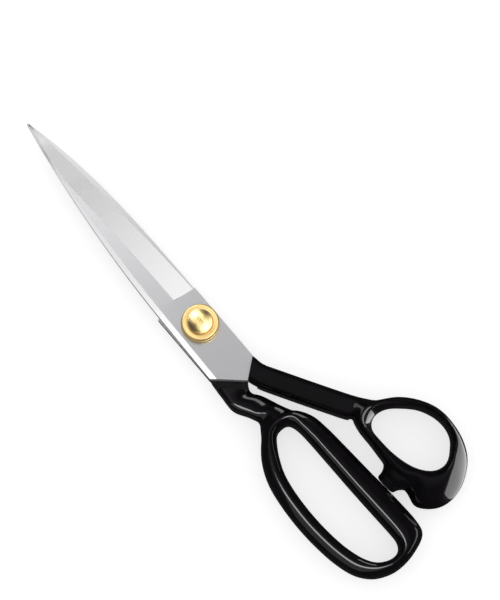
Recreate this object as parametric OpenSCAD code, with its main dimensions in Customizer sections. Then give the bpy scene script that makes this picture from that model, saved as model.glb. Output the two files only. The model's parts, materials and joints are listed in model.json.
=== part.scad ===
// Ten inch tailor's shears: two steel blades with tangs cast into enamelled handles,
// turning on a shouldered bolt with a brass tension nut and a domed lock cap.
// X runs from the pivot to the tip, Y towards the finger bow, Z up. The origin is on
// the pivot axis, in the plane that the shears rest on. Millimetres.

/* [Blades] */
// Distance from the pivot to the tips
blade_l = 116.5; // [100:0.5:140]
// Thickness of each blade at the pivot
blade_t = 3.6; // [2.8:0.1:4.2]
// Thickness of each blade at its tip
tip_t = 1.3; // [0.9:0.1:2.2]
// Distance from the pivot to the flat edge on the finger side
ricasso_up = 12.0; // [11:0.1:14]
// Distance from the pivot to the flat edge on the thumb side
ricasso_down = 8.4; // [7.5:0.1:10]
// Width of the polished chamfer along the spine
chamfer_w = 2.3; // [1:0.1:3.5]
// Depth of the polished chamfer along the spine
chamfer_d = 0.8; // [0.3:0.1:1.2]
// Thickness left at the cutting edge
edge_t = 0.25; // [0.15:0.05:0.5]
// Running gap between the two blades, filled by the blade washer
blade_gap = 0.3; // [0.2:0.05:0.6]

/* [Handles] */
// Thickness of both bows
bow_t = 16; // [13:0.5:20]
// Thickness of both shanks where they meet the blades
shank_t = 12.4; // [11:0.2:14]
// Width of the thumb shank
shank_w = 10; // [8:0.2:12]
// Width of the tang inside each handle
tang_w = 5; // [3:0.5:6]
// Thickness of the tang inside each handle
tang_t = 2.2; // [1.5:0.1:2.6]
// Length of the tang beyond the end of the blade
tang_l = 18; // [10:1:22]
// Setback of each handle's shoulder from the other half's blade
shoulder_gap = 4.3; // [2:0.1:6]

/* [Finger bow] */
// Distance from the pivot to the finger hole
finger_x = 57; // [56:0.5:64]
// Length of the finger hole
finger_l = 72.3; // [58:0.5:88]
// Height of the finger hole
finger_h = 19.9; // [16:0.5:24]
// Width of the straight bar under the fingers
bar_w = 11.5; // [9:0.5:14]
// Width of the bow over the fingers
top_w = 8.2; // [6:0.2:10]
// Width of the bow at its far end
far_w = 5.4; // [4.4:0.2:7]

/* [Thumb bow] */
// Distance from the pivot to the thumb hole
thumb_x = 78; // [74:0.5:86]
// Length of the thumb hole
thumb_l = 35.3; // [28:0.5:42]
// Height of the thumb hole
thumb_h = 24.8; // [20:0.4:28.8]
// Width of the bow above the thumb hole
ledge_w = 5.2; // [4.2:0.1:6.4]
// Width of the strap below the thumb hole
strap_w = 3.9; // [3.3:0.1:5]
// Width of the thumb rest
rest_w = 17.2; // [14:0.2:20]
// Distance from the near corner of the thumb hole to the middle of the stop lug
lug_x = 25.4; // [20:0.2:30]
// Width of the stop lug
lug_w = 9.8; // [7:0.2:12]
// Thickness of the stop lug
lug_t = 10; // [6:0.5:12]
// Gap between the stop lug and the finger bar when the shears are closed
lug_gap = 0.35; // [0.3:0.05:0.8]

/* [Pivot] */
// Diameter of the bolt where the thumb blade turns on it
bolt_d = 6; // [5:0.5:8]
// Diameter of the bolt's threaded end
thread_d = 5; // [4:0.5:7]
// Width across the bolt's square neck
neck_w = 6.4; // [5.4:0.2:9]
// Diameter of the bolt's head
head_d = 15; // [12:0.5:17]
// Radial clearance of the thumb blade on the bolt
pivot_clear = 0.05; // [0.02:0.01:0.1]
// Radial clearance of the washers, the nut and the cap on the bolt
thread_clear = 0.05; // [0.02:0.01:0.1]
// Diameter of the washer between the blades
blade_washer_d = 13; // [11:0.5:16]
// Diameter of the brass washer
base_washer_d = 16.7; // [14:0.1:19]
// Thickness of the brass washer
base_washer_t = 1.2; // [0.6:0.1:1.6]
// Diameter of the spring washer
spring_washer_d = 12; // [10:0.5:14]
// Thickness of the spring washer
spring_washer_t = 0.5; // [0.3:0.1:1]
// Diameter of the tension nut
nut_d = 16.1; // [13:0.1:18]
// Thickness of the tension nut
nut_t = 2.4; // [1.8:0.1:3.2]
// Diameter of the lock cap
cap_d = 10.7; // [9:0.1:13]
// Height of the lock cap's straight side
cap_side = 1.4; // [0.8:0.1:2]
// Height of the lock cap's dome
cap_dome = 1.6; // [1:0.1:2.5]

/* [Hidden] */
$fn = 64;

// Levels: the blades meet at mid height, so the bows and the bolt's head all reach z = 0
mid_z = bow_t / 2;
finger_top = mid_z - blade_gap / 2;
thumb_bottom = mid_z + blade_gap / 2;
head_top = finger_top - blade_t;
base_washer_z = thumb_bottom + blade_t;
spring_washer_z = base_washer_z + base_washer_t;
nut_z = spring_washer_z + spring_washer_t;
cap_z = nut_z + nut_t;

// The flats end in a V: its point, and its corners on the two long edges
heel = [-32, 0.2];
heel_up = [-21, ricasso_up + 0.2];
heel_down = [-25, -ricasso_down];
// Where the cutting edge begins, and the slant of that line
grind_x = 13.5;
grind_slant = 0.13;

// The thumb blade's ridge where the grind begins, and how fast the ridge rises from there
ridge_at = 2.1;
ridge_rise = 4.4;
// Length of the steep wall at the start of the grind, and the sections along it
grind_wall = 0.3;
blade_steps = 16;
// How far inside the flat's edges the grind begins: at the spine, and at the cutting edge of
// the thumb blade and of the finger blade
spine_inset = 0.5;
cut_inset = 0.5;
finger_cut_inset = 2;
// Heights of the spine and of the cutting edge at the tip of each blade
thumb_tip = [0.7, -0.3];
finger_tip = [0.35, -0.35];
// Directions of the tangs, and the length of each inside its blade
thumb_angle = 210.2;
finger_angle = 187.6;
tang_root = 6;
neck_clear = 0.02;

// Near corners of the two holes, on the side of the bars that face each other
finger_near = [-finger_x, -3.7];
thumb_near = [-thumb_x, -26.5];

// Sections of the bows and shanks
bow_steps = 3;
shank_steps = 3;
sides = 12;
bow_squareness = 2.5;
shank_squareness = 4.5;

steel = [0.74, 0.75, 0.77];
enamel = [0.04, 0.04, 0.045];
brass = [0.84, 0.66, 0.34];
spring_steel = [0.55, 0.56, 0.58];
nylon = [0.9, 0.89, 0.85];

function blend(a, b, f) = a + (b - a) * f;
function unit(v) = v / norm(v);
function turned(p) = [p.x, -p.y];

// Point at fraction f of the span between the middle two of four points, on a smooth curve
function curve_point(a, b, c, d, f) =
    0.5 * (2 * b + (c - a) * f + (2 * a - 5 * b + 4 * c - d) * f * f
    + (3 * b - a - 3 * c + d) * f * f * f);
// A closed curve through the points, with the given steps to each span
function ring_curve(pts, steps) =
    let (n = len(pts))
    [for (i = [0 : n - 1], s = [0 : steps - 1])
        curve_point(pts[(i + n - 1) % n], pts[i], pts[(i + 1) % n], pts[(i + 2) % n], s / steps)];
// An open curve through the points, with the given steps to each span
function open_curve(pts, steps) =
    let (n = len(pts))
    [for (i = [0 : n - 2], s = [0 : i == n - 2 ? steps : steps - 1])
        curve_point(pts[max(i - 1, 0)], pts[i], pts[i + 1], pts[min(i + 2, n - 1)], s / steps)];

// A rounded section of even height that stands on the line from a to b, at mid height
function spow(v, e) = sign(v) * pow(abs(v), e);
function section(a, b, height, squareness) =
    let (e = 2 / squareness, full = pow(cos(180 / sides), e))
    [for (i = [0 : sides - 1])
        let (t = 360 * (i + 0.5) / sides,
             p = blend(a, b, 0.5 + spow(cos(t), e) / full / 2))
        [p.x, p.y, mid_z + height / 2 * spow(sin(t), e) / full]];

// Skin over sections of m points, closed into a ring, or ended by the cap faces given
module skin(sections, caps) {
    n = len(sections);
    m = len(sections[0]);
    spans = len(caps) == 0 ? n : n - 1;
    walls = [for (i = [0 : spans - 1], j = [0 : m - 1], half = [0, 1])
        let (k = (j + 1) % m, a = i * m, b = ((i + 1) % n) * m)
        half == 0 ? [a + j, b + k, a + k] : [a + j, b + j, b + k]];
    far_cap = len(caps) == 0 ? [] : [[for (j = [m - 1 : -1 : 0]) (n - 1) * m + j]];
    polyhedron(points = [for (s = sections) each s], faces = concat(walls, caps, far_cap),
        convexity = 10);
}

// ---- Blades -------------------------------------------------------------------------------

// Each blade is described lying on its flat inner face, with its spine on the +Y side.
// The share of the way from the end of the flat to the tip is called s.
function share(x) = (x - grind_x) / (blade_l - grind_x);
// Height of the spine: it falls evenly on the thumb blade, and on the finger blade it is
// held wide and then swept in
function spine_y(finger, s) = finger
    ? blend(ricasso_down, finger_tip[0], pow(s, 3))
    : blend(ricasso_up - spine_inset, thumb_tip[0], 0.25 * s + 0.75 * s * s);
// Height of the cutting edge
function cut_y(finger, s) = finger
    ? blend(finger_cut_inset - ricasso_up, finger_tip[1], 0.25 * s + 0.75 * s * s)
    : blend(cut_inset - ricasso_down, thumb_tip[1], 0.33 * s + 0.67 * s * s);
function chamfer_y(finger, s) = spine_y(finger, s) - chamfer_w * (1 - 0.8 * pow(s, 2.2));
// The ridge rises along the blade until it runs beside the chamfer
function ridge_y(finger, s) =
    max(min(ridge_at + ridge_rise * s * s, chamfer_y(finger, s) - 0.55 * (1 - 0.6 * s)),
        cut_y(finger, s) + 0.2);

// One section: heights ys of its low edge, ridge, chamfer and spine, x at each of them,
// the level of its top, the chamfer's fall, and the level of its low edge
function blade_section(ys, xs, top, fall, low_top) =
    [[xs[0], ys[0], 0], [xs[1], ys[1], 0], [xs[3], ys[3], 0], [xs[3], ys[3], top - fall],
     [xs[2], ys[2], top], [xs[1], ys[1], top], [xs[0], ys[0], low_top]];
function slanted(x, lean, ys) = [for (y = ys) x + lean * (y - ys[0])];
function ground_section(finger, x) =
    let (s = share(x),
         ys = [cut_y(finger, s), ridge_y(finger, s), chamfer_y(finger, s), spine_y(finger, s)])
    blade_section(ys, slanted(x, grind_slant * (1 - s), ys), blend(blade_t, tip_t, s),
        blend(chamfer_d, 0.7 * chamfer_d, s), edge_t);

// A blade with a V heel, before it is drilled. The V's corners and its point are given.
module blade(finger, high_corner, low_corner, point) {
    heel_chamfer = blend(high_corner, point, chamfer_w / (high_corner.y - point.y));
    heel_points = [low_corner, point, heel_chamfer, high_corner];
    high = spine_y(finger, 0);
    end_ys = [low_corner.y, ridge_at, high - chamfer_w, high];
    end_xs = slanted(grind_x, grind_slant, end_ys);
    first = grind_x + grind_slant * (cut_y(finger, 0) - low_corner.y) + grind_wall;
    skin(concat(
        [blade_section([for (p = heel_points) p.y], [for (p = heel_points) p.x],
            blade_t, chamfer_d, blade_t),
         blade_section(end_ys, end_xs, blade_t, chamfer_d, blade_t)],
        [for (i = [0 : blade_steps])
            ground_section(finger, blend(first, blade_l, i / blade_steps))]),
        [[0, 1, 5, 6], [1, 2, 3, 4, 5]]);
}

// A tang: a flat bar across the heel's edge, centred in the thickness of its blade
module tang(from, angle, blade_z) {
    translate([from.x, from.y, blade_z + (blade_t - tang_t) / 2])
        rotate([0, 0, angle])
        translate([-tang_root, -tang_w / 2, 0])
        cube([tang_root + tang_l, tang_w, tang_t]);
}
module thumb_tang() {
    tang(blend(heel, heel_down, 0.5), thumb_angle, thumb_bottom);
}
module finger_tang() {
    tang(blend(heel, heel_up, 0.45), finger_angle, head_top);
}

module thumb_blade() {
    color(steel) difference() {
        union() {
            translate([0, 0, thumb_bottom]) blade(false, heel_up, heel_down, heel);
            thumb_tang();
        }
        translate([0, 0, thumb_bottom - 1])
            cylinder(d = bolt_d + 2 * pivot_clear, h = blade_t + 2);
    }
}

module finger_blade() {
    hole_w = neck_w + 2 * neck_clear;
    color(steel) difference() {
        union() {
            translate([0, 0, finger_top]) rotate([180, 0, 0])
                blade(true, turned(heel_down), turned(heel_up), turned(heel));
            finger_tang();
        }
        translate([-hole_w / 2, -hole_w / 2, head_top - 1])
            cube([hole_w, hole_w, blade_t + 2]);
    }
}

// ---- Handles ------------------------------------------------------------------------------

// Stations round each hole, from its near end over the top: shares of the hole's length and
// height from its near corner, the direction in which the wall goes out, the wall's width
finger_stations = [
    [0.00, 0.26, -5, 6.0], [0.01, 0.46, 23, 6.5], [0.055, 0.60, 55, 0.86 * top_w],
    [0.125, 0.75, 72, 0.97 * top_w], [0.22, 0.89, 83, top_w], [0.345, 0.97, 90, top_w],
    [0.50, 1.00, 90, top_w], [0.635, 0.98, 97, top_w], [0.765, 0.92, 107, top_w],
    [0.88, 0.80, 116, 0.98 * top_w], [0.955, 0.63, 131, blend(top_w, far_w, 0.4)],
    [0.993, 0.41, 155, blend(top_w, far_w, 0.85)], [1.00, 0.235, 191, far_w],
    [0.985, 0.10, 229, blend(far_w, bar_w, 0.35)], [0.94, 0.01, 245, bar_w + 0.2],
    [0.87, 0.00, 252, bar_w + 1.4], [0.72, 0.015, 265, bar_w + 0.8],
    [0.525, 0.03, 270, bar_w], [0.32, 0.035, 270, bar_w - 0.8], [0.165, 0.04, 276, bar_w - 1.6],
    [0.07, 0.06, 281, bar_w - 2.7], [0.014, 0.135, 306, 6.8]];
thumb_stations = [
    [0.003, 0.27, 25, 8.2], [0.03, 0.12, 38, 8.6], [0.12, 0.02, 46, 6.5],
    [0.28, 0.00, 70, ledge_w - 0.4], [0.48, 0.02, 90, ledge_w + 0.4],
    [0.68, 0.085, 103, ledge_w + 2.4], [0.84, 0.185, 112, blend(ledge_w, rest_w, 0.53)],
    [0.95, 0.325, 116, rest_w - 0.3], [0.995, 0.46, 132, rest_w + 0.3],
    [0.997, 0.59, 146, rest_w - 0.8], [0.96, 0.705, 164.5, blend(strap_w, rest_w, 0.73)],
    [0.885, 0.825, 190, blend(strap_w, rest_w, 0.46)],
    [0.785, 0.94, 209, blend(strap_w, rest_w, 0.22)], [0.64, 1.00, 239, strap_w + 0.4],
    [0.465, 0.975, 277, strap_w], [0.28, 0.855, 298, strap_w],
    [0.135, 0.66, 327, strap_w + 0.4], [0.04, 0.46, 354, strap_w + 0.8]];

function hole_point(near, size, station) =
    near + [-station[0] * size.x, station[1] * size.y];
function rim_point(near, size, station) =
    hole_point(near, size, station) + station[3] * [cos(station[2]), sin(station[2])];

module bow(near, size, stations) {
    inside = ring_curve([for (p = stations) hole_point(near, size, p)], bow_steps);
    outside = ring_curve([for (p = stations) rim_point(near, size, p)], bow_steps);
    skin([for (i = [0 : len(inside) - 1]) section(outside[i], inside[i], bow_t, bow_squareness)], []);
}

// A shank through stations, each one its two edges and its thickness
module shank(stations) {
    one = open_curve([for (p = stations) p[0]], shank_steps);
    other = open_curve([for (p = stations) p[1]], shank_steps);
    thick = open_curve([for (p = stations) [p[2], 0]], shank_steps);
    skin([for (i = [0 : len(one) - 1]) section(one[i], other[i], thick[i].x, shank_squareness)],
        [[for (j = [0 : sides - 1]) j]]);
}

// What a handle leaves free for the other half's blade: from its shoulder to the pivot, on
// one side of mid height. The heel's edge runs from the corner to the point.
module clearance(corner, point, below) {
    reach = 40;
    along = unit(point - corner) * reach;
    out = (below ? 1 : -1) * [-along.y, along.x] / reach;
    from = corner + shoulder_gap * out;
    translate([0, 0, below ? thumb_bottom - bow_t : finger_top])
        linear_extrude(bow_t)
        polygon([from - along, from + along, from + along - reach * out, from - along - reach * out]);
}

finger_size = [finger_l, finger_h];
thumb_size = [thumb_l, -thumb_h];

module finger_handle() {
    neck = [
        [heel_up, heel, shank_t],
        [[-26.5, ricasso_up + 0.8], [-35, 3.4], shank_t],
        [[-38.5, ricasso_up + 1], [-38.8, 0.9], shank_t],
        [[-42.3, 10.6], [-42.3, -0.9], shank_t],
        [[-45.5, 8.4], [-45.5, -2.4], shank_t],
        [finger_near + [8.5, 0.59 * finger_h], finger_near + [8.5, -0.1], blend(shank_t, bow_t, 0.3)],
        [finger_near + [5, 0.69 * finger_h], finger_near + [5, -1.8], blend(shank_t, bow_t, 0.7)],
        [finger_near + [1.5, 0.79 * finger_h], finger_near + [2.5, -2.8], 0.97 * bow_t]];
    color(enamel) resize([0, 0, bow_t]) difference() {
        union() {
            bow(finger_near, finger_size, finger_stations);
            shank(neck);
        }
        clearance(heel_up, heel, false);
        finger_tang();
    }
}

// The stop lug, whose end lies along the finger bar
module lug() {
    middle = thumb_near.x - lug_x;
    bar_one = rim_point(finger_near, finger_size, finger_stations[16]);
    bar_two = rim_point(finger_near, finger_size, finger_stations[17]);
    function end_at(x) = blend(bar_one.y, bar_two.y, (x - bar_one.x) / (bar_two.x - bar_one.x)) - lug_gap;
    base = thumb_near.y + ledge_w;
    left = middle - lug_w / 2;
    right = middle + lug_w / 2;
    fillet = 3.2;
    // How much higher the bow stands on the lug's far side, and how deep the lug is rooted in it
    step = 0.6;
    root = 4;
    translate([0, 0, mid_z - lug_t / 2]) linear_extrude(lug_t) polygon(concat(
        [[left, end_at(left)]],
        [for (a = [0 : 15 : 90])
            [left - fillet + fillet * cos(a), base + step + fillet - fillet * sin(a)]],
        [[left - fillet, base - root], [right + fillet, base - root]],
        [for (a = [90 : -15 : 0]) [right + fillet - fillet * cos(a), base + fillet - fillet * sin(a)]],
        [[right, end_at(right)]]));
}

module thumb_handle() {
    run = [cos(thumb_angle), sin(thumb_angle)];
    half = shank_w / 2 * [run.y, -run.x];
    start = [-39, -8.4];
    end = thumb_near + [11, 1.6];
    strut = [
        [heel, heel_down, shank_t],
        [[-35.6, -1.1], [-30.4, -9.4], shank_t],
        [start + half, start - half, shank_t],
        [end + half, end - half, blend(shank_t, bow_t, 0.4)],
        [thumb_near + [5.2, 4], thumb_near + [5.6, -8.6], 0.96 * bow_t],
        [thumb_near + [2.6, 1.6], thumb_near + [2.2, -11.5], 0.98 * bow_t]];
    color(enamel) resize([0, 0, bow_t]) difference() {
        union() {
            bow(thumb_near, thumb_size, thumb_stations);
            shank(strut);
            lug();
        }
        clearance(heel_down, heel, true);
        thumb_tang();
    }
}

// ---- Pivot --------------------------------------------------------------------------------

// A ring from an outer and an inner diameter, standing at z
module ring(outer_d, inner_d, z, h) {
    translate([0, 0, z]) difference() {
        cylinder(d = outer_d, h = h);
        translate([0, 0, -1]) cylinder(d = inner_d, h = h + 2);
    }
}

thread_end = cap_z + cap_side + cap_dome * 0.3;
hole_d = thread_d + 2 * thread_clear;

module pivot_bolt() {
    edge = 0.8;
    color(brass) union() {
        rotate_extrude() polygon([[0, 0], [head_d / 2 - edge, 0], [head_d / 2, edge],
            [head_d / 2, head_top], [0, head_top]]);
        translate([-neck_w / 2, -neck_w / 2, head_top - 0.5])
            cube([neck_w, neck_w, finger_top - head_top + 0.5]);
        translate([0, 0, finger_top]) cylinder(d = bolt_d, h = base_washer_z - finger_top);
        translate([0, 0, head_top]) cylinder(d = thread_d, h = thread_end - head_top);
    }
}

module blade_washer() {
    color(nylon) ring(blade_washer_d, bolt_d + 2 * pivot_clear, finger_top, blade_gap);
}

module base_washer() {
    color(brass) ring(base_washer_d, hole_d, base_washer_z, base_washer_t);
}

module spring_washer() {
    color(spring_steel) ring(spring_washer_d, hole_d, spring_washer_z, spring_washer_t);
}

module tension_nut() {
    edge = 0.5;
    r = nut_d / 2;
    color(brass) translate([0, 0, nut_z]) rotate_extrude() polygon([
        [hole_d / 2, 0], [r - edge, 0], [r, edge], [r, nut_t - edge], [r - edge, nut_t],
        [hole_d / 2, nut_t]]);
}

module lock_cap() {
    r = cap_d / 2;
    depth = thread_end - cap_z + 0.3;
    // Radius of the sphere that the dome is cut from
    dome_r = (r * r + cap_dome * cap_dome) / (2 * cap_dome);
    color(brass) translate([0, 0, cap_z]) difference() {
        union() {
            cylinder(d = cap_d, h = cap_side);
            intersection() {
                cylinder(d = cap_d, h = cap_side + cap_dome + 1);
                translate([0, 0, cap_side + cap_dome - dome_r]) sphere(r = dome_r);
            }
        }
        translate([0, 0, -1]) cylinder(d = hole_d, h = depth + 1);
    }
}

finger_blade();
finger_handle();
pivot_bolt();
blade_washer();
thumb_blade();
thumb_handle();
base_washer();
spring_washer();
tension_nut();
lock_cap();
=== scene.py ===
"""Ten inch tailor's shears: polished steel blades, gloss black enamelled handles and a brass
pivot. Lengths are in millimetres until a mesh is made. X runs from the pivot to the tips,
Y towards the finger bow and Z up, as in the CAD."""

import json
from math import cos, pi, radians, sin

import bmesh
import bpy
from mathutils import Matrix, Vector

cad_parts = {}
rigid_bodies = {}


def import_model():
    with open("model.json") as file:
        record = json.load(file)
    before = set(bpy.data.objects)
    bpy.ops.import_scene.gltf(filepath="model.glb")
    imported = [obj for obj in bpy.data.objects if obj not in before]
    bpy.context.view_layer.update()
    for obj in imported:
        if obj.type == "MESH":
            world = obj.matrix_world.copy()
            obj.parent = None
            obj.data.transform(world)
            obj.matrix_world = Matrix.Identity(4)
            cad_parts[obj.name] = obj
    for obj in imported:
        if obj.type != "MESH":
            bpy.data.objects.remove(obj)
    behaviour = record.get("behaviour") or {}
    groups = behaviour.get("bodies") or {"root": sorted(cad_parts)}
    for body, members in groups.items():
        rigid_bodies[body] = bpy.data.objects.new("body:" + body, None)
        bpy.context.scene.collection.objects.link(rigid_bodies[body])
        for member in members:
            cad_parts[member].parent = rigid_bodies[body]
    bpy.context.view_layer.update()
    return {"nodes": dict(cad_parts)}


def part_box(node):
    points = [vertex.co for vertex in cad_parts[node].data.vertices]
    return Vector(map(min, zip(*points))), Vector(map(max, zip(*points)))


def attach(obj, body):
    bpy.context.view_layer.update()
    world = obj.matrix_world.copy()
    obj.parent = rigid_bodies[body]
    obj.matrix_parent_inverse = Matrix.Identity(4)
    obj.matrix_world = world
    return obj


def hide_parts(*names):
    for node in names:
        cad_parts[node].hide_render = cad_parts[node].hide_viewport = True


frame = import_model()

MM = 0.001


def low_of(node):
    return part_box(node)[0] / MM


def high_of(node):
    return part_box(node)[1] / MM


# Levels, from the frame: the flats meet at mid height
MID = high_of("finger_handle").z / 2
BOW_T = 2 * MID
FINGER_TOP = high_of("finger_blade").z
THUMB_BOTTOM = low_of("thumb_blade").z
BLADE_T = high_of("thumb_blade").z - THUMB_BOTTOM
TIP_X = high_of("thumb_blade").x

# Blades, as in the CAD
TIP_T = 1.3
RICASSO_UP = 12.0
RICASSO_DOWN = 8.4
CHAMFER_W = 2.3
CHAMFER_D = 0.8
EDGE_T = 0.25
HEEL = Vector((-32, 0.2))
HEEL_UP = Vector((-21, RICASSO_UP + 0.2))
HEEL_DOWN = Vector((-25, -RICASSO_DOWN))
GRIND_X = 13.5
GRIND_SLANT = 0.13
GRIND_WALL = 0.3
RIDGE_AT = 2.1
RIDGE_RISE = 4.4
BORE_D = 6.1
NECK_HOLE_W = 6.44

# Tangs, as in the CAD: the slot's width, how far it runs each way from the heel's edge, its two
# levels above the blade's lower face, and the gap that the tang leaves in it
TANG_W = 5
TANG_BACK = 6
TANG_L = 18
TANG_LOW = 0.7
TANG_HIGH = 2.9
TANG_GAP = 0.05
FINGER_TANG_ANGLE = radians(187.6)

# Handles, as in the CAD
SHANK_T = 12.4
SHANK_W = 10
SHOULDER_GAP = 4.3
FINGER_NEAR = Vector((-57, -3.7))
FINGER_SIZE = Vector((72.3, 19.9))
BAR_W = 11.5
TOP_W = 8.2
FAR_W = 5.4
THUMB_NEAR = Vector((-78, -26.5))
THUMB_SIZE = Vector((35.3, -24.8))
THUMB_ANGLE = radians(210.2)
LEDGE_W = 5.2
STRAP_W = 3.9
REST_W = 17.2
LUG_X = -103.4
LUG_W = 9.8
LUG_T = 10
LUG_GAP = 0.35

# How far a handle's loft runs past the heel's edge, before it is cut there
HEEL_OVERLAP = 3

# Detail: steps between stations, points round a section, and sides of round pieces
RING_STEPS = 8
SHANK_STEPS = 6
SECTION_POINTS = 36
BLADE_STEPS = 64
BORE_SIDES = 96
TURNED_SIDES = 128

# Finish: how the castings are remeshed and smoothed, the blades' broken edges, and the angles
# in degrees from which an edge is broken or shown sharp
VOXEL = 0.38
FAIR_SHARE = 0.5
FAIR_ROUNDS = 46
EDGE_BREAK = 0.09
BREAK_ANGLE = 9
CAST_CREASE = 38
TURNED_CREASE = 30


# ---- Curves -------------------------------------------------------------------------------

def blend(a, b, f):
    """From a to b, a share f of the way."""
    return a + (b - a) * f


def spow(v, e):
    """A power that keeps the sign."""
    return (1 if v >= 0 else -1) * abs(v) ** e


def curve_point(a, b, c, d, f):
    """A point on the smooth curve through four, a share f of the way from b to c."""
    return 0.5 * (2 * b + (c - a) * f + (2 * a - 5 * b + 4 * c - d) * f * f
                  + (3 * b - a - 3 * c + d) * f ** 3)


def ring_curve(points):
    n = len(points)
    return [curve_point(points[i - 1], points[i], points[(i + 1) % n], points[(i + 2) % n],
                        s / RING_STEPS)
            for i in range(n) for s in range(RING_STEPS)]


def open_curve(points):
    n = len(points)
    curve = [curve_point(points[max(i - 1, 0)], points[i], points[i + 1], points[min(i + 2, n - 1)],
                         s / SHANK_STEPS)
             for i in range(n - 1) for s in range(SHANK_STEPS)]
    return curve + [points[-1]]


def circle(radius, sides):
    turns = [2 * pi * k / sides for k in range(sides)]
    return [(radius * cos(a), radius * sin(a)) for a in turns]


# ---- Meshes -------------------------------------------------------------------------------

def piece(name, points, faces):
    """A new mesh object from points in millimetres."""
    mesh = bpy.data.meshes.new(name)
    mesh.from_pydata([Vector(p) * MM for p in points], [], faces)
    mesh.update()
    obj = bpy.data.objects.new(name, mesh)
    bpy.context.scene.collection.objects.link(obj)
    return obj


def loft(name, sections, closed):
    """A skin over sections with the same number of points, closed into a ring or capped."""
    n, m = len(sections), len(sections[0])
    spans = n if closed else n - 1
    faces = [(i * m + j, i * m + (j + 1) % m, (i + 1) % n * m + (j + 1) % m, (i + 1) % n * m + j)
             for i in range(spans) for j in range(m)]
    if not closed:
        faces.append(tuple(reversed(range(m))))
        faces.append(tuple((n - 1) * m + j for j in range(m)))
    obj = piece(name, [p for s in sections for p in s], faces)
    outward(obj)
    return obj


def outward(obj):
    """Turns every face outwards."""
    bm = bmesh.new()
    bm.from_mesh(obj.data)
    bmesh.ops.recalc_face_normals(bm, faces=bm.faces)
    bm.to_mesh(obj.data)
    bm.free()


def prism(name, outline, low, high):
    """A block with an outline in X and Y, between two levels."""
    m = len(outline)
    points = [(p[0], p[1], z) for z in (low, high) for p in outline]
    faces = [(j, (j + 1) % m, m + (j + 1) % m, m + j) for j in range(m)]
    faces += [tuple(reversed(range(m))), tuple(range(m, 2 * m))]
    obj = piece(name, points, faces)
    outward(obj)
    return obj


def turned(name, profile):
    """A turned piece: a closed profile of radius and level, spun about the pivot's axis."""
    spokes = circle(1, TURNED_SIDES)
    obj = loft(name, [[(r * c, r * s, z) for r, z in profile] for c, s in spokes], True)
    shade(obj, TURNED_CREASE)
    return obj


def settle(obj):
    """Turns an object's modifiers into its mesh."""
    shown = obj.evaluated_get(bpy.context.evaluated_depsgraph_get())
    mesh = bpy.data.meshes.new_from_object(shown)
    obj.modifiers.clear()
    obj.data = mesh
    mesh.name = obj.name


def cut(obj, tool, operation="DIFFERENCE"):
    """Takes the tool away from obj, or joins it on, and deletes the tool."""
    change = obj.modifiers.new("cut", "BOOLEAN")
    change.operation = operation
    change.object = tool
    change.solver = "EXACT"
    settle(obj)
    bpy.data.objects.remove(tool)


def shade(obj, degrees):
    """Smooth shading that breaks at edges sharper than this."""
    obj.data.shade_smooth()
    obj.data.set_sharp_from_angle(angle=radians(degrees))


# ---- Materials ----------------------------------------------------------------------------

class Material:
    """A node material with a Principled shader and short ways to add what feeds it."""

    def __init__(self, name, **values):
        self.data = bpy.data.materials.new(name)
        self.data.use_nodes = True
        self.nodes = self.data.node_tree.nodes
        self.shader = self.nodes["Principled BSDF"]
        for key, value in values.items():
            self.shader.inputs[key.replace("_", " ")].default_value = value

    def add(self, kind, **settings):
        node = self.nodes.new(kind)
        for key, value in settings.items():
            setattr(node, key, value)
        return node

    def link(self, output, socket):
        self.data.node_tree.links.new(output, socket)

    def place(self, scale):
        """Object coordinates, in units of 1/scale metres along each axis."""
        spot = self.add("ShaderNodeTexCoord")
        sized = self.add("ShaderNodeMapping")
        sized.inputs["Scale"].default_value = scale
        self.link(spot.outputs["Object"], sized.inputs["Vector"])
        return sized.outputs["Vector"]

    def noise(self, scale, detail=2.0, roughness=0.5):
        node = self.add("ShaderNodeTexNoise")
        node.inputs["Scale"].default_value = 1.0
        node.inputs["Detail"].default_value = detail
        node.inputs["Roughness"].default_value = roughness
        self.link(self.place(scale), node.inputs["Vector"])
        return node.outputs["Fac"]

    def ramp(self, factor, low, high, socket, start=0.3, end=0.7):
        """Sends a socket a value between two, as factor goes from start to end."""
        node = self.add("ShaderNodeMapRange")
        node.inputs["From Min"].default_value = start
        node.inputs["From Max"].default_value = end
        node.inputs["To Min"].default_value = low
        node.inputs["To Max"].default_value = high
        self.link(factor, node.inputs["Value"])
        self.link(node.outputs["Result"], self.shader.inputs[socket])

    def tint(self, factor, low, high, start=0.3, end=0.7):
        """A base colour between two, as factor goes from start to end."""
        node = self.add("ShaderNodeValToRGB")
        for stop, at, colour in zip(node.color_ramp.elements, (start, end), (low, high)):
            stop.position = at
            stop.color = (*colour, 1)
        self.link(factor, node.inputs["Fac"])
        self.link(node.outputs["Color"], self.shader.inputs["Base Color"])

    def bump(self, height, depth, distance=0.0001):
        node = self.add("ShaderNodeBump")
        node.inputs["Strength"].default_value = depth
        node.inputs["Distance"].default_value = distance
        self.link(height, node.inputs["Height"])
        self.link(node.outputs["Normal"], self.shader.inputs["Normal"])


def enamel_material():
    """Stoved gloss enamel over a casting: near black, with a faint waviness in the gloss."""
    made = Material("gloss_enamel", Coat_Weight=1.0, Coat_Roughness=0.03, Specular_IOR_Level=0.12)
    made.tint(made.noise((90, 90, 90), 3), (0.0016, 0.0014, 0.0018), (0.0035, 0.0026, 0.0036))
    made.ramp(made.noise((420, 420, 420), 4), 0.2, 0.3, "Roughness")
    made.bump(made.noise((160, 160, 160), 1.5), 0.02)
    return made.data


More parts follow.
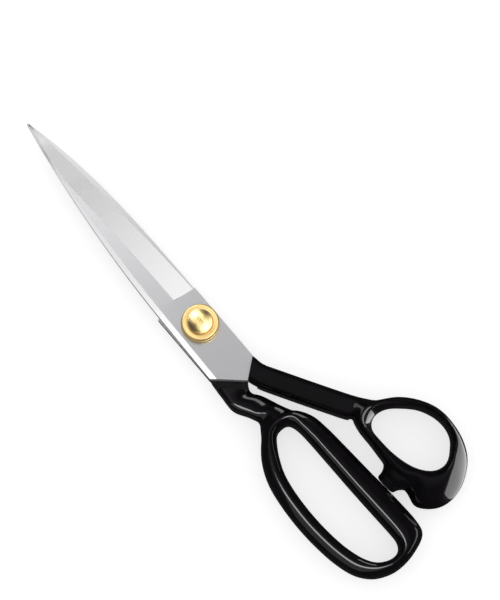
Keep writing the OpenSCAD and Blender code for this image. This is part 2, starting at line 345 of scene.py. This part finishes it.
def steel_material(name, low, high, roughness, lines):
    """Polished steel with fine grinding lines, close together along one axis."""
    made = Material(name, Metallic=1.0)
    streaks = made.noise(lines, 3, 0.6)
    made.tint(streaks, low, high)
    made.ramp(streaks, roughness * 0.96, roughness * 1.04, "Roughness")
    made.bump(streaks, 0.002, 0.00002)
    return made.data


def brass_material(name, low, high, roughness, rings, stretch):
    """Turned brass: fine rings round the pivot's axis, from the distance to it."""
    made = Material(name, Metallic=1.0, Anisotropic=stretch)
    spot = made.add("ShaderNodeTexCoord")
    flat = made.add("ShaderNodeVectorMath", operation="MULTIPLY")
    flat.inputs[1].default_value = (1, 1, 0)
    made.link(spot.outputs["Object"], flat.inputs[0])
    reach = made.add("ShaderNodeVectorMath", operation="LENGTH")
    made.link(flat.outputs["Vector"], reach.inputs[0])
    spread = made.add("ShaderNodeTexNoise", noise_dimensions="1D")
    spread.inputs["Scale"].default_value = rings
    spread.inputs["Detail"].default_value = 4.0
    made.link(reach.outputs["Value"], spread.inputs["W"])
    made.tint(spread.outputs["Fac"], low, high)
    made.ramp(spread.outputs["Fac"], roughness * 0.85, roughness * 1.15, "Roughness")
    made.bump(spread.outputs["Fac"], 0.25, 0.00004)
    across = made.add("ShaderNodeTangent", direction_type="RADIAL", axis="Z")
    made.link(across.outputs["Tangent"], made.shader.inputs["Tangent"])
    return made.data


def plain_material(name, low, high, roughness, scale, **values):
    """A material whose colour and gloss vary gently."""
    made = Material(name, **values)
    cloud = made.noise(scale, 4)
    made.tint(cloud, low, high)
    made.ramp(cloud, roughness * 0.85, roughness * 1.15, "Roughness")
    made.bump(cloud, 0.08)
    return made.data


ENAMEL = enamel_material()
STEEL_FLAT = steel_material("steel_flat", (0.67, 0.675, 0.685), (0.70, 0.705, 0.715), 0.3,
                            (60, 2600, 2600))
# The grind and the cutting edge: steel with a brighter base colour than the flat's, a painted
# highlight, with a little more gloss and grinding lines across the blade
STEEL_GRIND_PAINTED_HIGHLIGHT = steel_material("steel_grind_painted_highlight", (0.865, 0.867, 0.87), (0.875, 0.877, 0.88), 0.27,
                             (300, 40, 40))
# The spine and its chamfer: the brightest base colour, a painted highlight, over a polished finish
# with the most gloss
STEEL_EDGE_PAINTED_HIGHLIGHT = steel_material("steel_edge_polish_and_painted_highlight", (0.9, 0.9, 0.905), (0.94, 0.94, 0.945), 0.22,
                            (80, 2200, 2200))
BRASS = brass_material("turned_brass", (0.86, 0.62, 0.24), (0.95, 0.73, 0.34), 0.34, 5200, 0.35)
BRASS_DOME = brass_material("turned_brass_dome", (0.86, 0.62, 0.25), (0.96, 0.74, 0.36), 0.28,
                            4200, 0.75)
SPRING = plain_material("spring_steel", (0.4, 0.41, 0.43), (0.5, 0.51, 0.53), 0.35,
                        (700, 700, 700), Metallic=1.0)
NYLON = plain_material("nylon", (0.74, 0.73, 0.69), (0.82, 0.81, 0.77), 0.5, (500, 500, 500))


# ---- Handles ------------------------------------------------------------------------------

# Shapes of a section of a bow, a shank or the lug: where its crest stands between its first
# edge, which is the hole on a bow, and its other edge, then how full it is on the first side
# and on the other, from 1, a straight slope, over 2, an ellipse, towards a square
ROUND = (0.5, 2.1, 2.2)
BAR = (0.25, 2.2, 2.05)
FAR = (0.38, 2.0, 2.3)
BAND = (0.5, 2.7, 2.5)
LEDGE = (0.56, 2.1, 2.2)
FUNNEL = (0.56, 1.3, 2.2)
REST = (0.26, 2.0, 1.4)
STRAP = (0.42, 2.0, 1.8)
SQUARE = (0.5, 5.0, 5.0)
LUG = (0.5, 2.8, 2.8)
SOFT_NECK = (0.25, 7.0, 1.8)


def station(along, across, direction, wall, shape):
    return along, across, radians(direction), wall, shape


# Stations round each hole, from its near end over the top, as in the CAD: shares of the hole's
# length and height, the direction in which the wall goes out, its width, and its section
FINGER_STATIONS = [
    station(0.00, 0.26, -5, 6.0, ROUND),
    station(0.01, 0.46, 23, 6.5, ROUND),
    station(0.055, 0.60, 55, 0.86 * TOP_W, ROUND),
    station(0.125, 0.75, 72, 0.97 * TOP_W, BAND),
    station(0.22, 0.89, 83, TOP_W, BAND),
    station(0.345, 0.97, 90, TOP_W, BAND),
    station(0.50, 1.00, 90, TOP_W, BAND),
    station(0.635, 0.98, 97, TOP_W, BAND),
    station(0.765, 0.92, 107, TOP_W, BAND),
    station(0.88, 0.80, 116, 0.98 * TOP_W, BAND),
    station(0.955, 0.63, 131, blend(TOP_W, FAR_W, 0.4), FAR),
    station(0.993, 0.41, 155, blend(TOP_W, FAR_W, 0.85), FAR),
    station(1.00, 0.235, 191, FAR_W, FAR),
    station(0.985, 0.10, 229, blend(FAR_W, BAR_W, 0.35), FAR),
    station(0.94, 0.01, 245, BAR_W + 0.2, BAR),
    station(0.87, 0.00, 252, BAR_W + 1.4, BAR),
    station(0.72, 0.015, 265, BAR_W + 0.8, BAR),
    station(0.525, 0.03, 270, BAR_W, BAR),
    station(0.32, 0.035, 270, BAR_W - 0.8, BAR),
    station(0.165, 0.04, 276, BAR_W - 1.6, BAR),
    station(0.07, 0.06, 281, BAR_W - 2.7, BAR),
    station(0.014, 0.135, 306, 6.8, ROUND),
]
THUMB_STATIONS = [
    station(0.003, 0.27, 25, 8.2, FUNNEL),
    station(0.03, 0.12, 38, 8.6, FUNNEL),
    station(0.12, 0.02, 46, 6.5, FUNNEL),
    station(0.28, 0.00, 70, LEDGE_W - 0.4, LEDGE),
    station(0.48, 0.02, 90, LEDGE_W + 0.4, LEDGE),
    station(0.68, 0.085, 103, LEDGE_W + 2.4, LEDGE),
    station(0.84, 0.185, 112, blend(LEDGE_W, REST_W, 0.53), REST),
    station(0.95, 0.325, 116, REST_W - 0.3, REST),
    station(0.995, 0.46, 132, REST_W + 0.3, REST),
    station(0.997, 0.59, 146, REST_W - 0.8, REST),
    station(0.96, 0.705, 164.5, blend(STRAP_W, REST_W, 0.73), REST),
    station(0.885, 0.825, 190, blend(STRAP_W, REST_W, 0.46), REST),
    station(0.785, 0.94, 209, blend(STRAP_W, REST_W, 0.22), STRAP),
    station(0.64, 1.00, 239, STRAP_W + 0.4, STRAP),
    station(0.465, 0.975, 277, STRAP_W, STRAP),
    station(0.28, 0.855, 298, STRAP_W, STRAP),
    station(0.135, 0.66, 327, STRAP_W + 0.4, ROUND),
    station(0.04, 0.46, 354, STRAP_W + 0.8, FUNNEL),
]


def hole_point(near, size, at):
    """Where a station stands on the edge of the hole."""
    return near + Vector((-at[0] * size.x, at[1] * size.y))


def rim_point(near, size, at):
    """Where a station's wall reaches the rim."""
    return hole_point(near, size, at) + at[3] * Vector((cos(at[2]), sin(at[2])))


def section(inner, outer, height, shape):
    """A rounded section on the line between two edges, highest at its crest."""
    crest, inside, outside = shape
    points = []
    for k in range(SECTION_POINTS):
        turn = 2 * pi * (k + 0.5) / SECTION_POINTS
        power, reach = (outside, 1 - crest) if cos(turn) > 0 else (inside, crest)
        at = inner + (outer - inner) * (crest + reach * spow(cos(turn), 2 / power))
        points.append((at.x, at.y, MID + height / 2 * spow(sin(turn), 2 / power)))
    return points


def bow(name, near, size, stations):
    """A ring round a hole, with a section at each station."""
    inner = ring_curve([hole_point(near, size, s) for s in stations])
    outer = ring_curve([rim_point(near, size, s) for s in stations])
    shapes = ring_curve([Vector(s[4]) for s in stations])
    return loft(name, [section(i, o, BOW_T, s) for i, o, s in zip(inner, outer, shapes)], True)


def shank(name, stations):
    """A shank through stations, each its two edges, its thickness and its section."""
    one = open_curve([s[0] for s in stations])
    other = open_curve([s[1] for s in stations])
    thick = open_curve([Vector((s[2], 0)) for s in stations])
    shapes = open_curve([Vector(s[3]) for s in stations])
    sections = [section(a, b, t.x, s) for a, b, t, s in zip(one, other, thick, shapes)]
    return loft(name, sections, False)


def heel_out(corner):
    """The direction out of a heel's slanted edge, from the blade towards the handle."""
    out = (corner - HEEL).orthogonal().normalized()
    return out if out.x < 0 else -out


def heel_cutters(corner, low, high):
    """Blocks that end a handle at its blade's heel, and between two levels a gap short of it."""
    half_length, depth = 60, 20
    along = half_length * (HEEL - corner).normalized()
    out = heel_out(corner)

    def block(name, gap, bottom, top):
        near, far = -depth * out, gap * out
        return prism(name, [corner - along + near, corner + along + near, corner + along + far,
                            corner - along + far], bottom, top)

    return [block("heel", 0, -1, BOW_T + 1), block("shoulder", SHOULDER_GAP, low, high)]


def tang(start, angle, level, gap):
    """The slot for a tang, or with a gap the tang that lies in it."""
    run = Vector((cos(angle), sin(angle)))
    side = (TANG_W / 2 - gap) * Vector((-run.y, run.x))
    ends = start - TANG_BACK * run, start + (TANG_L - 2 * gap) * run
    outline = [ends[0] - side, ends[1] - side, ends[1] + side, ends[0] + side]
    return prism("tang", outline, level + TANG_LOW + gap, level + TANG_HIGH - gap)


def finger_tang(gap=0):
    return tang(blend(HEEL, HEEL_UP, 0.45), FINGER_TANG_ANGLE, FINGER_TOP - BLADE_T, gap)


def thumb_tang(gap=0):
    return tang(blend(HEEL, HEEL_DOWN, 0.5), THUMB_ANGLE, THUMB_BOTTOM, gap)


def cast(name, parts, cutters):
    """Joins parts into one smooth casting, then cuts its machined faces."""
    points = []
    faces = []
    for part in parts:
        first = len(points)
        points += [v.co / MM for v in part.data.vertices]
        faces += [tuple(first + i for i in f.vertices) for f in part.data.polygons]
        bpy.data.objects.remove(part)
    obj = piece(name, points, faces)
    skin = obj.modifiers.new("skin", "REMESH")
    skin.mode = "VOXEL"
    skin.voxel_size = VOXEL * MM
    fair = obj.modifiers.new("fair", "SMOOTH")
    fair.factor = FAIR_SHARE
    fair.iterations = FAIR_ROUNDS
    settle(obj)
    for cutter in cutters:
        cut(obj, cutter)
    shade(obj, CAST_CREASE)
    obj.data.materials.clear()
    obj.data.materials.append(ENAMEL)
    return obj


def finger_handle():
    """The finger bow, and the neck that joins it to the finger blade's heel."""
    under = -HEEL_OVERLAP * heel_out(HEEL_UP)
    near = FINGER_NEAR
    neck = [
        (HEEL_UP + under, HEEL + under, SHANK_T, SQUARE),
        (HEEL_UP, HEEL, SHANK_T, SQUARE),
        (Vector((-30.5, RICASSO_UP + 0.9)), Vector((-36.2, 2.1)), SHANK_T, SOFT_NECK),
        (Vector((-37.5, RICASSO_UP + 0.9)), Vector((-40.2, -0.5)), SHANK_T, SOFT_NECK),
        (Vector((-44.0, 9.3)), Vector((-45.0, -2.6)), SHANK_T, SOFT_NECK),
        (near + Vector((8.5, 0.59 * FINGER_SIZE.y)), near + Vector((8.5, -0.1)),
         blend(SHANK_T, BOW_T, 0.3), ROUND),
        (near + Vector((5, 0.69 * FINGER_SIZE.y)), near + Vector((5, -1.8)),
         blend(SHANK_T, BOW_T, 0.7), ROUND),
        (near + Vector((2.2, 0.79 * FINGER_SIZE.y)), near + Vector((3, -2.8)), 0.92 * BOW_T, ROUND)]
    parts = [bow("finger_bow", FINGER_NEAR, FINGER_SIZE, FINGER_STATIONS), shank("neck", neck)]
    cutters = heel_cutters(HEEL_UP, FINGER_TOP, BOW_T + 1) + [finger_tang()]
    made = cast("finger_handle_enamelled", parts, cutters)
    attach(made, "finger_half")
    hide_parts("finger_handle")


def lug():
    """The stop lug: it narrows out of the bow and ends along the finger bar."""
    # The stations of the finger bar on each side of the lug
    bar_one, bar_two = (rim_point(FINGER_NEAR, FINGER_SIZE, FINGER_STATIONS[k]) for k in (16, 17))
    base = THUMB_NEAR.y + LEDGE_W
    left = LUG_X - LUG_W / 2
    right = LUG_X + LUG_W / 2

    def end_at(x):
        return blend(bar_one.y, bar_two.y, (x - bar_one.x) / (bar_two.x - bar_one.x)) - LUG_GAP

    def across(spread, rise, thick):
        return (Vector((left - spread, base + rise)), Vector((right + spread, base + rise)), thick,
                LUG)

    ends = [(Vector((left, end_at(left) - back)), Vector((right, end_at(right) - back)), thick, LUG)
            for back, thick in ((1.5, LUG_T), (0.15, LUG_T - 0.6))]
    stations = [across(6, -5, 0.8 * BOW_T), across(4.2, -1.6, 0.85 * BOW_T),
                across(1.5, 1.0, blend(LUG_T, BOW_T, 0.45)),
                across(0.2, 3.0, blend(LUG_T, BOW_T, 0.15))]
    return shank("lug", stations + ends)


def thumb_handle():
    """The thumb ring with its rest and stop lug, and the strut to the thumb blade's heel."""
    under = -HEEL_OVERLAP * heel_out(HEEL_DOWN)
    half = SHANK_W / 2 * Vector((sin(THUMB_ANGLE), -cos(THUMB_ANGLE)))
    start = Vector((-39, -8.4))
    near = THUMB_NEAR
    end = near + Vector((11, 1.6))
    strut = [
        (HEEL + under, HEEL_DOWN + under, SHANK_T, SQUARE),
        (HEEL, HEEL_DOWN, SHANK_T, SQUARE),
        (Vector((-35.6, -1.1)), Vector((-30.4, -9.4)), SHANK_T, SQUARE),
        (start + half, start - half, SHANK_T, SQUARE),
        (end + half, end - half, blend(SHANK_T, BOW_T, 0.15), SQUARE),
        (near + Vector((6.6, 4)), near + Vector((6.8, -8)), 0.93 * BOW_T, ROUND),
        (near + Vector((4.6, 2.6)), near + Vector((4.6, -10)), 0.93 * BOW_T, ROUND)]
    parts = [bow("thumb_bow", THUMB_NEAR, THUMB_SIZE, THUMB_STATIONS), shank("strut", strut),
             lug()]
    cutters = heel_cutters(HEEL_DOWN, -1, THUMB_BOTTOM) + [thumb_tang()]
    made = cast("thumb_handle_enamelled", parts, cutters)
    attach(made, "thumb_half")
    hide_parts("thumb_handle")


# ---- Blades -------------------------------------------------------------------------------

def share(x):
    """How far along the ground part of a blade x is, from 0 to 1 at the tip."""
    return (x - GRIND_X) / (TIP_X - GRIND_X)


# The edges and lines of a blade's ground part, at a share s of its length, for either blade

def spine_y(finger, s):
    if finger:
        return blend(RICASSO_DOWN, 0.35, s ** 3)
    return blend(RICASSO_UP - 0.5, 0.7, 0.25 * s + 0.75 * s * s)


def cut_y(finger, s):
    if finger:
        return blend(2 - RICASSO_UP, -0.35, 0.25 * s + 0.75 * s * s)
    return blend(0.5 - RICASSO_DOWN, -0.3, 0.33 * s + 0.67 * s * s)


def chamfer_y(finger, s):
    return spine_y(finger, s) - CHAMFER_W * (1 - 0.8 * s ** 2.2)


def ridge_y(finger, s):
    return max(min(RIDGE_AT + RIDGE_RISE * s * s, chamfer_y(finger, s) - 0.55 * (1 - 0.6 * s)),
               cut_y(finger, s) + 0.2)


def blade_section(ys, xs, top, fall, low_top):
    """A section over the cutting edge, ridge, chamfer and spine, which stand at ys and xs: the
    flat is at top, the spine falls below it, and the cutting edge is at low_top."""
    return [(xs[0], ys[0], 0), (xs[1], ys[1], 0), (xs[3], ys[3], 0), (xs[3], ys[3], top - fall),
            (xs[2], ys[2], top), (xs[1], ys[1], top), (xs[0], ys[0], low_top)]


def slanted(x, lean, ys):
    """Where the points of a section that leans along the blade stand."""
    return [x + lean * (y - ys[0]) for y in ys]


def ground_section(finger, x):
    s = share(x)
    ys = [cut_y(finger, s), ridge_y(finger, s), chamfer_y(finger, s), spine_y(finger, s)]
    return blade_section(ys, slanted(x, GRIND_SLANT * (1 - s), ys), blend(BLADE_T, TIP_T, s),
                         blend(CHAMFER_D, 0.7 * CHAMFER_D, s), EDGE_T)


def blade_loft(name, finger, high, low, point):
    """A blade on its flat inner face, with its spine on the +Y side."""
    chamfer = blend(high, point, CHAMFER_W / (high.y - point.y))
    heel = [low, point, chamfer, high]
    top = spine_y(finger, 0)
    end_ys = [low.y, RIDGE_AT, top - CHAMFER_W, top]
    first = GRIND_X + GRIND_SLANT * (cut_y(finger, 0) - low.y) + GRIND_WALL
    sections = [
        blade_section([p.y for p in heel], [p.x for p in heel], BLADE_T, CHAMFER_D, BLADE_T),
        blade_section(end_ys, slanted(GRIND_X, GRIND_SLANT, end_ys), BLADE_T, CHAMFER_D, BLADE_T)]
    sections += [ground_section(finger, blend(first, TIP_X, i / BLADE_STEPS))
                 for i in range(BLADE_STEPS + 1)]
    obj = loft(name, sections, False)
    # The faces of each span, in the order of blade_section: two on the inner face, the spine,
    # the chamfer, the upper flat, the grind and the cutting edge. The first span isn't ground
    # The grind and edge steels are brighter in colour than the flat: painted highlights
    flat, grind, edge = range(3)
    kinds = [flat, flat, edge, edge, flat, grind, grind]
    for face in obj.data.polygons[:len(kinds) * (len(sections) - 1)]:
        span, side = divmod(face.index, len(kinds))
        face.material_index = flat if span == 0 and kinds[side] == grind else kinds[side]
    for material in (STEEL_FLAT, STEEL_GRIND_PAINTED_HIGHLIGHT, STEEL_EDGE_PAINTED_HIGHLIGHT):
        obj.data.materials.append(material)
    return obj


def finish_blade(obj, bar, hole):
    """Adds the tang, cuts the pivot's hole and breaks the edges."""
    cut(obj, bar, "UNION")
    cut(obj, hole)
    obj.data.shade_smooth()
    soft = obj.modifiers.new("edges", "BEVEL")
    soft.width = EDGE_BREAK * MM
    soft.segments = 2
    soft.limit_method = "ANGLE"
    soft.angle_limit = radians(BREAK_ANGLE)
    soft.harden_normals = True
    settle(obj)


def thumb_blade():
    """The upper blade, on its flat inner face."""
    obj = blade_loft("thumb_blade_polished", False, HEEL_UP, HEEL_DOWN, HEEL)
    obj.data.transform(Matrix.Translation((0, 0, THUMB_BOTTOM * MM)))
    bore = prism("bore", circle(BORE_D / 2, BORE_SIDES), THUMB_BOTTOM - 1,
                 THUMB_BOTTOM + BLADE_T + 1)
    finish_blade(obj, thumb_tang(TANG_GAP), bore)
    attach(obj, "thumb_half")
    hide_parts("thumb_blade")


def finger_blade():
    """The lower blade: a loft like the upper one's, turned over about the X axis."""
    def turned_over(p):
        return Vector((p.x, -p.y))

    obj = blade_loft("finger_blade_polished", True, turned_over(HEEL_DOWN), turned_over(HEEL_UP),
                     turned_over(HEEL))
    obj.data.transform(Matrix.Translation((0, 0, FINGER_TOP * MM)) @ Matrix.Rotation(pi, 4, "X"))
    half = NECK_HOLE_W / 2
    square = [(-half, -half), (half, -half), (half, half), (-half, half)]
    hole = prism("hole", square, FINGER_TOP - BLADE_T - 1, FINGER_TOP + 1)
    finish_blade(obj, finger_tang(TANG_GAP), hole)
    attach(obj, "finger_half")
    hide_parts("finger_blade")


# ---- Pivot --------------------------------------------------------------------------------

# The brass pieces' bore, over the bolt's thread
BORE_R = 2.55


def arc(r, z, radius, start, end, steps=6):
    """Points round a centre at radius r and level z, from one angle in degrees to another."""
    turns = [radians(blend(start, end, k / steps)) for k in range(steps + 1)]
    return [(r + radius * cos(a), z + radius * sin(a)) for a in turns]


def brass_piece(name, node, body, profile, material):
    """A turned brass piece that stands for a CAD node."""
    obj = turned(name, profile)
    obj.data.materials.append(material)
    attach(obj, body)
    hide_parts(node)


def pivot():
    # The washer: a plain disc with rolled edges
    low, high = low_of("base_washer"), high_of("base_washer")
    edge = 0.45
    brass_piece("base_washer_turned", "base_washer", "finger_half", [
        (BORE_R, low.z), *arc(high.x - edge, low.z + edge, edge, -90, 0),
        *arc(high.x - edge, high.z - edge, edge, 0, 90), (BORE_R, high.z)], BRASS)

    # The nut: a flange with a rolled rim, a raised seat for the cap and a groove round the seat
    low, high = low_of("tension_nut"), high_of("tension_nut")
    cap_r = high_of("lock_cap").x
    edge = 0.7
    brass_piece("tension_nut_turned", "tension_nut", "tension_nut", [
        (BORE_R, low.z), (high.x - 0.9, low.z), *arc(high.x - 0.35, low.z + 0.55, 0.35, -60, 0, 3),
        *arc(high.x - edge, high.z - edge - 0.15, edge, 0, 90),
        (blend(cap_r, high.x, 0.55), high.z - 0.2), (cap_r + 0.35, high.z - 0.24),
        (cap_r + 0.15, high.z - 0.6), (cap_r - 0.3, high.z - 0.6), (cap_r - 0.5, high.z - 0.02),
        (BORE_R, high.z - 0.02)], BRASS)

    # The cap: a short side, a rolled shoulder, a low dome and a centre mark, which takes the
    # place of the dome's last two rings
    low, high = low_of("lock_cap"), high_of("lock_cap")
    side = high.z - 1.15
    reach = high.x - 0.2
    rise = 0.95
    rings = 23
    dome = [(reach * r, side + 0.2 + rise * (1 - r * r))
            for r in (1 - k / rings for k in range(rings - 2))]
    brass_piece("lock_cap_turned", "lock_cap", "lock_cap", [
        (BORE_R, low.z), (high.x - 0.5, low.z), (high.x - 0.45, low.z + 0.35),
        (high.x, low.z + 0.5), (high.x, side),
        *arc(high.x - 0.3, side - 0.05, 0.3, 15, 50, 3), *dome,
        (0.5, high.z - 0.05), (0.25, high.z - 0.24), (0.001, high.z - 0.27),
        (0.001, high.z - 0.9), (BORE_R, high.z - 1.4)], BRASS_DOME)

    # The pieces that keep their CAD shape
    for node, material in (("pivot_bolt", BRASS), ("spring_washer", SPRING),
                           ("blade_washer", NYLON)):
        obj = frame["nodes"][node]
        obj.data.materials.clear()
        obj.data.materials.append(material)


# ---- Setting ------------------------------------------------------------------------------

# The photograph looks almost straight down: this direction in the shears' plane points up it
PHOTO_UP = radians(-40.04)
TILT = radians(12)
TARGET = Vector((-5.115, -23.525, MID))
DISTANCE = 1431
LENS = 200


def camera():
    """Sees the shears as the photograph does."""
    flat_up = Vector((cos(PHOTO_UP), sin(PHOTO_UP), 0))
    back = Vector((0, 0, cos(TILT))) - flat_up * sin(TILT)
    up = flat_up * cos(TILT) + Vector((0, 0, sin(TILT)))
    data = bpy.data.cameras.new("camera")
    data.lens = LENS
    obj = bpy.data.objects.new("camera", data)
    bpy.context.scene.collection.objects.link(obj)
    turn = Matrix((up.cross(back), up, back)).transposed().to_4x4()
    obj.matrix_world = Matrix.Translation((TARGET + back * DISTANCE) * MM) @ turn
    bpy.context.scene.camera = obj


def floor():
    """A wide pale sheet that the shears lie on."""
    size = 6000
    sheet = piece("floor", [(-size, -size, 0), (size, -size, 0), (size, size, 0), (-size, size, 0)],
                  [(0, 1, 2, 3)])
    made = Material("pale_floor", Roughness=0.9, Specular_IOR_Level=0.0, Emission_Strength=0.68,
                    Emission_Color=(1, 1, 1, 1))
    made.tint(made.noise((3, 3, 3)), (0.48, 0.48, 0.48), (0.5, 0.5, 0.5))
    sheet.data.materials.append(made.data)
    sheet.visible_glossy = False
    sheet.visible_shadow = False


def world():
    """White light all round for the floor, and for reflections a dark room, lighter overhead."""
    made = bpy.data.worlds.new("studio")
    bpy.context.scene.world = made
    made.use_nodes = True
    made.cycles.sampling_method = "NONE"
    nodes, links = made.node_tree.nodes, made.node_tree.links
    nodes.clear()
    spot = nodes.new("ShaderNodeTexCoord")
    split = nodes.new("ShaderNodeSeparateXYZ")
    links.new(spot.outputs["Generated"], split.inputs[0])
    glow = nodes.new("ShaderNodeMapRange")
    glow.interpolation_type = "SMOOTHSTEP"
    for key, value in (("From Min", 0.7), ("From Max", 1.0), ("To Min", 0.02), ("To Max", 0.13)):
        glow.inputs[key].default_value = value
    links.new(split.outputs["Z"], glow.inputs["Value"])
    room = nodes.new("ShaderNodeBackground")
    room.inputs["Color"].default_value = (1, 0.95, 1, 1)
    links.new(glow.outputs["Result"], room.inputs["Strength"])
    white = nodes.new("ShaderNodeBackground")
    white.inputs["Strength"].default_value = 1.03
    path = nodes.new("ShaderNodeLightPath")
    mix = nodes.new("ShaderNodeMixShader")
    links.new(path.outputs["Is Glossy Ray"], mix.inputs["Fac"])
    links.new(white.outputs[0], mix.inputs[1])
    links.new(room.outputs[0], mix.inputs[2])
    end = nodes.new("ShaderNodeOutputWorld")
    links.new(mix.outputs[0], end.inputs["Surface"])


def group(name, *pieces):
    """Pieces that a softbox lights."""
    made = bpy.data.collections.new(name)
    for obj in pieces:
        made.objects.link(obj)
    return made


def softbox(name, at, towards, width, height, brightness, lit=None, up=Vector((0, 0, 1))):
    """A flat softbox of even brightness, facing a point. Its width lies across its up."""
    data = bpy.data.lights.new(name, "AREA")
    data.shape = "RECTANGLE"
    data.size = width * MM
    data.size_y = height * MM
    data.energy = brightness * pi * width * height * MM * MM
    obj = bpy.data.objects.new(name, data)
    bpy.context.scene.collection.objects.link(obj)
    back = (Vector(at) - Vector(towards)).normalized()
    across = up.cross(back).normalized()
    turn = Matrix((across, back.cross(across), back)).transposed().to_4x4()
    obj.matrix_world = Matrix.Translation(Vector(at) * MM) @ turn
    obj.visible_camera = False
    if lit:
        obj.light_linking.receiver_collection = lit


def lights():
    shown = bpy.data.objects
    finger = group("finger", shown["finger_handle_enamelled"])
    thumb = group("thumb", shown["thumb_handle_enamelled"])
    steel = group("steel", shown["thumb_blade_polished"], shown["finger_blade_polished"])
    brass = group("brass", shown["tension_nut_turned"], shown["lock_cap_turned"],
                  shown["base_washer_turned"])
    metal = group("metal", *steel.objects, *brass.objects, shown["pivot_bolt"],
                  shown["spring_washer"])
    along = Vector((0, 1, 0))
    # To the right of the photograph: the long low panel in the thumb rest, and a thin one for
    # the finger handle
    softbox("right_panel", (-351, -335, 20), (-68, -52, 20), 720, 740, 3.2, thumb,
            Vector((-0.24, 0.24, 0.94)))
    softbox("edge_panel", (-351, -335, 40), (-68, -52, 40), 500, 90, 1.6, finger)
    # Overhead: the bright line on the crests, and the soft grey beside it on the finger bow
    softbox("crest_strip", (-190, 80, 700), (-90, 5, MID), 450, 210, 6.5, finger, along)
    softbox("finger_glow", (-355, 430, 440), (-355, 5, MID), 760, 1150, 0.42, finger)
    # Above the photograph, low: the patch on the neck. Towards the pivot: the patch on the shank
    softbox("top_panel", (215, -455, 150), (-42, 0, MID), 230, 260, 2.4, finger)
    softbox("shank_patch", (190, -20, 400), (-70, -26, MID), 130, 200, 1.3, thumb)
    # For the blades: softboxes that each face of the steel mirrors
    softbox("flat_light", (110, -85, 640), (0, 0, MID), 520, 300, 0.53, steel, along)
    softbox("tip_light", (250, -60, 560), (80, 0, MID), 150, 300, 1.0, steel, along)
    softbox("grind_light", (-20, -390, 430), (-20, 0, MID), 420, 340, 1.1, steel)
    softbox("grind_tip", (345, -390, 430), (345, 0, MID), 310, 340, 0.56, steel)
    softbox("tip_low", (200, -500, 145), (200, 0, MID), 560, 270, 0.36, steel)
    softbox("spine_light", (-50, 330, 560), (-20, 10, MID), 420, 240, 1.35, steel)
    softbox("spine_tip", (350, 360, 520), (350, 10, MID), 380, 330, 0.8, steel)
    softbox("spine_side", (200, 560, 150), (200, 10, MID), 700, 290, 0.3, steel)
    # All round, low: large panels that keep the metal light when it is seen from the side. They
    # meet at their corners and reach below the floor
    away, level = 1000, 150
    for name, x, y in (("low_front", away, 0), ("low_back", -away, 0), ("low_left", 0, away),
                       ("low_right", 0, -away)):
        softbox(name, (x, y, level), (0, 0, level), 2 * away + 10, 1300, 0.42, metal)
    # For the brass: two lights along the blades, which its turned rings spread into a bow tie
    softbox("brass_front", (262, -52, 340), (0, 0, MID), 210, 150, 5.0, brass)
    softbox("brass_back", (-150, -52, 390), (0, 0, MID), 210, 150, 5.0, brass)
    softbox("brass_side", (-85, -235, 320), (0, 0, MID), 110, 110, 3.0, brass)
    softbox("brass_fill", (60, -60, 420), (0, 0, MID), 300, 320, 0.85, brass, along)


camera()
floor()
world()
finger_handle()
thumb_handle()
thumb_blade()
finger_blade()
pivot()
lights()
bpy.context.scene.view_settings.view_transform = "Standard"
